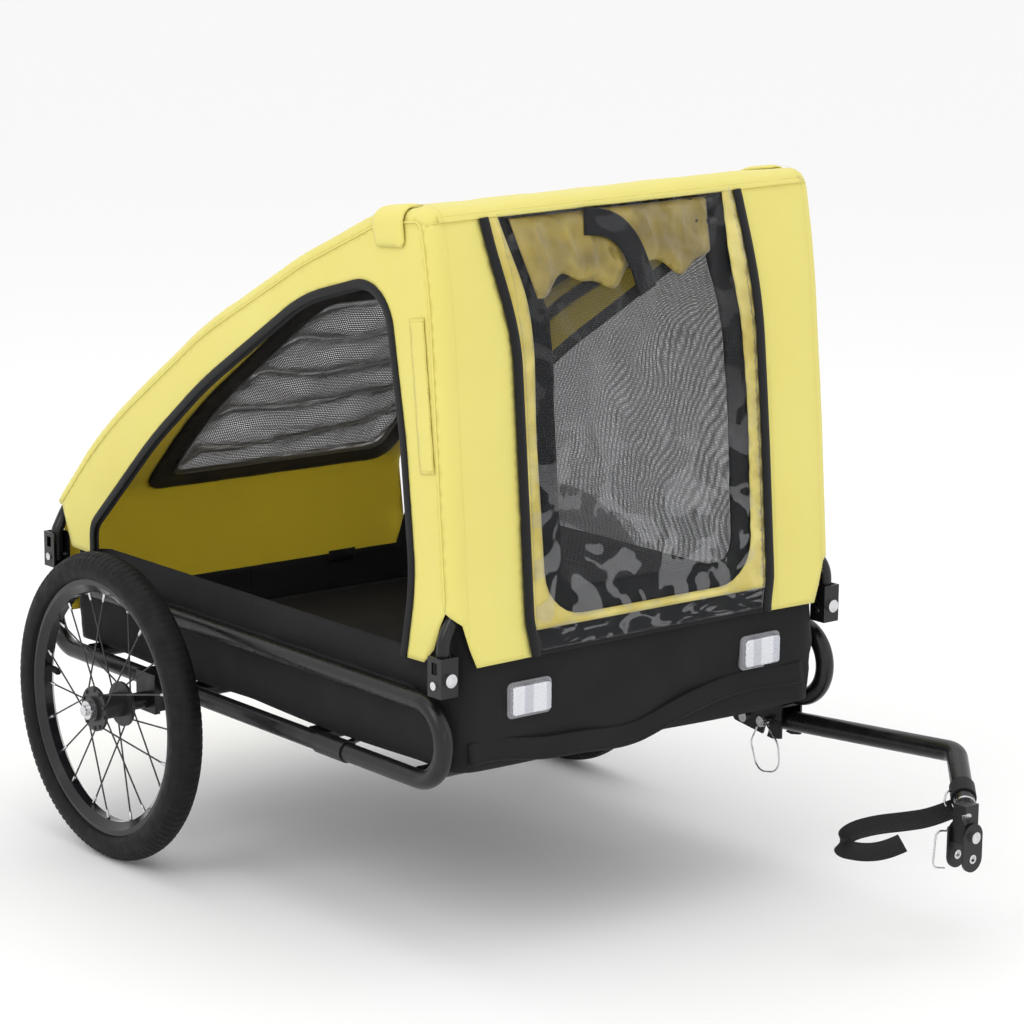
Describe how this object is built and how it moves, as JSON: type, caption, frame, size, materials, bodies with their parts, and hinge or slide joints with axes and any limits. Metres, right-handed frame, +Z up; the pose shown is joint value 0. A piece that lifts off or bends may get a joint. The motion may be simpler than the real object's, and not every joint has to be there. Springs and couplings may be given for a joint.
{
  "type": "bicycle trailer",
  "caption": "Two-wheeled bicycle trailer with a folding fabric cabin, zipped front door, rain cover, side tow arm and hitch coupler.",
  "frame": {"origin": "middle of the plan outline at ground level", "axes": "+X to the trailer's left, -Y towards the tow end, +Z up"},
  "size_m": [0.832, 1.214, 0.881],
  "materials": {
    "frame_black": "semi-gloss powder coat",
    "tyre_rubber": "matt rubber with fine tread",
    "rim_black": "glossy black",
    "spoke_black": "black spokes",
    "hub_black": "moulded",
    "zinc": "zinc plated",
    "cloth_yellow": "coated oxford weave",
    "cloth_black": "coated oxford weave",
    "mesh_grey": "fine net",
    "mesh_white": "fine net",
    "clear_film": "clear soft film",
    "lens_silver": "prismatic reflector",
    "webbing_black": "ribbed webbing",
    "piping_black": "zip tape and piping"
  },
  "bodies": {
    "chassis": {"upper_rails": "frame_black", "rail_sleeves": "frame_black", "front_cross_tube": "frame_black", "middle_cross_tube": "frame_black", "rear_cross_tube": "frame_black", "axle_cross_tube": "frame_black", "tie_rods": "frame_black", "pivot_pins": "zinc", "bracket_screws": "zinc", "tow_bracket": "frame_black", "tow_pivot_bolt": "zinc", "floor_tub": "cloth_black", "reflector_lenses": "lens_silver", "reflector_frames": "hub_black", "front_panel": "cloth_yellow", "roof_panel": "cloth_yellow", "rear_window_mesh": "mesh_grey", "left_window_mesh": "mesh_white", "right_lower_rail": "frame_black", "right_front_bend": "frame_black", "right_rear_bend": "frame_black", "right_front_bracket": "frame_black", "right_rear_bracket": "frame_black", "right_axle_mount": "frame_black", "right_axle": "frame_black", "right_side_panel": "cloth_yellow", "left_lower_rail": "frame_black", "left_front_bend": "frame_black", "left_rear_bend": "frame_black", "left_front_bracket": "frame_black", "left_rear_bracket": "frame_black", "left_axle_mount": "frame_black", "left_axle": "frame_black", "left_side_panel": "cloth_yellow"},
    "right_wheel": {"right_tyre": "tyre_rubber", "right_rim": "rim_black", "right_hub": "hub_black", "right_spokes": "spoke_black", "right_hub_cap": "zinc"},
    "left_wheel": {"left_tyre": "tyre_rubber", "left_rim": "rim_black", "left_hub": "hub_black", "left_spokes": "spoke_black", "left_hub_cap": "zinc"},
    "roof_bow": {"roof_bow": "frame_black"},
    "front_bow": {"front_bow": "frame_black"},
    "front_door": {"door_border": "cloth_yellow", "door_mesh": "mesh_grey", "rain_cover": "clear_film"},
    "tow_arm": {"tow_tube": "frame_black", "swivel_stud": "zinc", "strap_collar": "webbing_black", "safety_strap": "webbing_black"},
    "lock_pin": {"lock_pin": "zinc"},
    "pin_wire": {"lock_pin_wire": "zinc"},
    "knuckle": {"knuckle": "frame_black"},
    "coupler": {"coupler_plates": "frame_black", "coupler_eye_bushes": "zinc", "coupler_pin": "zinc", "coupler_pin_wire": "zinc"}
  },
  "joints": [
    {"name": "right_wheel_spin", "type": "hinge", "parent": "chassis", "child": "right_wheel", "pos_m": [-0.378, 0.3455, 0.2], "axis": [1, 0, 0], "continuous": true},
    {"name": "left_wheel_spin", "type": "hinge", "parent": "chassis", "child": "left_wheel", "pos_m": [0.378, 0.3455, 0.2], "axis": [1, 0, 0], "continuous": true},
    {"name": "roof_bow_fold", "type": "hinge", "parent": "chassis", "child": "roof_bow", "pos_m": [0, 0.5895, 0.345], "axis": [1, 0, 0], "range_deg": [0, 30], "deforming": ["front_panel", "roof_panel", "rear_window_mesh", "left_window_mesh", "right_side_panel", "left_side_panel", "door_border", "door_mesh", "rain_cover"]},
    {"name": "front_bow_fold", "type": "hinge", "parent": "chassis", "child": "front_bow", "pos_m": [0, -0.2565, 0.345], "axis": [-1, 0, 0], "range_deg": [0, 76.5]},
    {"name": "front_door_lift", "type": "hinge", "parent": "chassis", "child": "front_door", "pos_m": [0, -0.2255, 0.868], "axis": [-1, 0, 0], "range_deg": [0, 100]},
    {"name": "tow_arm_fold", "type": "hinge", "parent": "chassis", "child": "tow_arm", "pos_m": [0.3, -0.1415, 0.184], "axis": [1, 0, 0], "range_deg": [0, 165]},
    {"name": "lock_pin_pull", "type": "slide", "parent": "tow_arm", "child": "lock_pin", "axis": [-1, 0, 0], "range_m": [0, 0.055]},
    {"name": "pin_wire_swing", "type": "hinge", "parent": "lock_pin", "child": "pin_wire", "pos_m": [0.3, -0.18136, 0.18729], "axis": [1, 0, 0], "range_deg": [-20, 60]},
    {"name": "hitch_swivel", "type": "hinge", "parent": "tow_arm", "child": "knuckle", "pos_m": [0.226, -0.5765, 0.181], "axis": [-0.6356, -0.7215, -0.2748], "range_deg": [-45, 45]},
    {"name": "hitch_pitch", "type": "hinge", "parent": "knuckle", "child": "coupler", "pos_m": [0.215, -0.5885, 0.15], "axis": [0, 1, 0], "range_deg": [-40, 40]}
  ],
  "couplings": [
    {"joint": "front_bow_fold", "follows": "roof_bow_fold", "ratio": 2.55}
  ]
}
